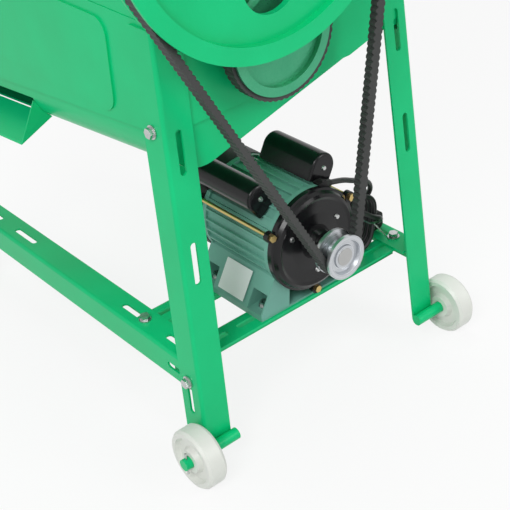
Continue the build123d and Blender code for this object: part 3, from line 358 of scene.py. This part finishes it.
def addBelt(belt):
    mesh = bmesh.new()
    rings = []
    slope = tan(radians(beltSize["wedge"]))
    for i, (y, z, normal) in enumerate(loopSamples(belt)):
        notch = (0.5 - 0.5 * cos(2 * pi * i / beltSize["perCog"])) ** 2
        back = beltSize["back"] - beltSize["backNotch"] * notch
        inner = -beltSize["inner"] + beltSize["innerNotch"] * notch
        ring = []
        for depth, side in ((back, -1), (back, 1), (inner, 1), (inner, -1)):
            half = beltSize["halfWidth"] - (beltSize["back"] - depth) * slope
            at = Vector((belt["x"] + side * half, y + depth * cos(normal),
                         z + depth * sin(normal)))
            ring.append(mesh.verts.new(at * mm))
        rings.append(ring)
    for a, b in zip(rings, rings[1:] + rings[:1]):
        for k in range(4):
            mesh.faces.new((a[k], a[k - 1], b[k - 1], b[k]))
    bmesh.ops.recalc_face_normals(mesh, faces=mesh.faces)
    piece = addPiece(belt["name"], mesh, finishes["belt_rubber"], "machine_body")
    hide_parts(belt["node"])


for belt in belts:
    addBelt(belt)
print("belts")

screws = {
    "coverScrews": {"at": [(296.2, 12.4 + 39, 260.2), (296.2, 12.4 - 39, 260.2),
                           (296.2, 12.4, 196.2)],
                    "radius": 3.8, "tip": 2.8, "height": 2.6, "sides": 24},
    "capScrews": {"at": [(259.9, -43.0, 313.7), (269.9, 57.0, 320.7)],
                  "radius": 3.6, "tip": 2.6, "height": 2.4, "sides": 24},
}


def addScrews(name, screw):
    mesh = bmesh.new()
    for at in screw["at"]:
        alongX(Vector(at) * mm, screw["radius"] * mm, screw["height"] * mm, screw["sides"], mesh,
               screw["tip"] * mm)
    addPiece(name, mesh, finishes["zinc_steel"], "machine_body")


for name, screw in screws.items():
    addScrews(name, screw)

bearingBolts = {
    "at": [(292.1, -65 - 38, 737), (292.1, -65 + 38, 737),
           (296.7, -38 - 31, 550), (296.7, -38 + 31, 550)],
    "layers": [{"radius": 8.0, "height": 1.4, "sides": 32, "start": 0.0},  # washer
               {"radius": 6.5, "height": 5.0, "sides": 6, "start": 1.4}],  # head
}


# The same bolts stand on both ends of the drum
def addBearingBolts():
    mesh = bmesh.new()
    for x, y, z in bearingBolts["at"]:
        for side in (1, -1):
            for layer in bearingBolts["layers"]:
                start, height = layer["start"], layer["height"]
                back = x + start if side > 0 else -x - start - height
                alongX(Vector((back, y, z)) * mm, layer["radius"] * mm, height * mm,
                       layer["sides"], mesh)
    addPiece("bearingBolts", mesh, finishes["zinc_steel"], "machine_body")


addBearingBolts()

sticker = {"x": (191.0, 244.0), "low": (-77.0, 164.6), "high": (-54.5, 202.0), "lift": 0.25}


# Blank sheet on the sloped near side of the motor's foot
def addSticker():
    low, high = Vector((0, *sticker["low"])), Vector((0, *sticker["high"]))
    out = Vector((0, -(high - low).z, (high - low).y)).normalized() * sticker["lift"]
    left, right = sticker["x"]
    mesh = bmesh.new()
    corners = [Vector((x, 0, 0)) + p + out
               for x, p in ((left, low), (right, low), (right, high), (left, high))]
    mesh.faces.new([mesh.verts.new(c * mm) for c in corners])
    addPiece("blankSticker", mesh, blankSticker, "machine_body")


addSticker()
print("details")

# Stage and light

stage = {"half": 9.0, "colour": (0.84, 0.84, 0.84, 1), "rough": 0.8, "specular": 0.1,
         "white": 0.85}  # white: how far seen rays get plain white instead of the lit floor
sky = {"light": 0.35, "seen": 0.65}  # strength on the object, and what seen rays add to it
lamps = {
    "key": {"at": (1.6, -2.2, 2.6), "target": (0, 0, 0.5), "size": 1.6, "power": 62},
    "side": {"at": (2.4, 1.2, 1.6), "target": (0, 0, 0.4), "size": 1.4, "power": 20},
    "top": {"at": (-0.4, 0.2, 3.2), "target": (0, 0, 0.5), "size": 2.0, "power": 30},
}


def seenRays(tree):
    path = tree.nodes.new("ShaderNodeLightPath")
    seen = Wire(tree, path.outputs["Is Camera Ray"]) + Wire(tree, path.outputs["Is Glossy Ray"])
    return seen, Wire(tree, path.outputs["Is Transmission Ray"])


def addStage():
    mesh = bmesh.new()
    bmesh.ops.create_grid(mesh, x_segments=1, y_segments=1, size=stage["half"])
    data = bpy.data.meshes.new("floor")
    mesh.to_mesh(data)
    mesh.free()
    floor = bpy.data.objects.new("floor", data)
    scene.collection.objects.link(floor)
    material, shader = startMaterial("floor")[:2]
    tree = material.node_tree
    shader.inputs["Base Color"].default_value = stage["colour"]
    shader.inputs["Roughness"].default_value = stage["rough"]
    shader.inputs["Specular IOR Level"].default_value = stage["specular"]
    glow = tree.nodes.new("ShaderNodeEmission")
    glow.inputs["Color"].default_value = (1, 1, 1, 1)
    seen = seenRays(tree)[0]
    mix = tree.nodes.new("ShaderNodeMixShader")
    tree.links.new((seen * stage["white"]).socket, mix.inputs[0])
    tree.links.new(shader.outputs[0], mix.inputs[1])
    tree.links.new(glow.outputs[0], mix.inputs[2])
    tree.links.new(mix.outputs[0], tree.nodes["Material Output"].inputs[0])
    data.materials.append(material)


def addWorld():
    world = bpy.data.worlds.new("world")
    scene.world = world
    world.use_nodes = True
    tree = world.node_tree
    ground = tree.nodes["Background"]
    seen, through = seenRays(tree)
    seen = (seen + through).maths("MINIMUM", 1.0)
    tree.links.new((seen * sky["seen"] + sky["light"]).socket, ground.inputs["Strength"])
    ground.inputs["Color"].default_value = (1, 1, 1, 1)


def addLamp(name, lamp):
    data = bpy.data.lights.new(name, "AREA")
    data.shape = "DISK"
    data.size = lamp["size"]
    data.energy = lamp["power"]
    light = bpy.data.objects.new(name, data)
    scene.collection.objects.link(light)
    aim = (Vector(lamp["at"]) - Vector(lamp["target"])).to_track_quat("Z", "Y")
    light.matrix_world = Matrix.Translation(lamp["at"]) @ aim.to_matrix().to_4x4()


addStage()
addWorld()
for name, lamp in lamps.items():
    addLamp(name, lamp)
scene.view_settings.view_transform = "Standard"
print("stage")
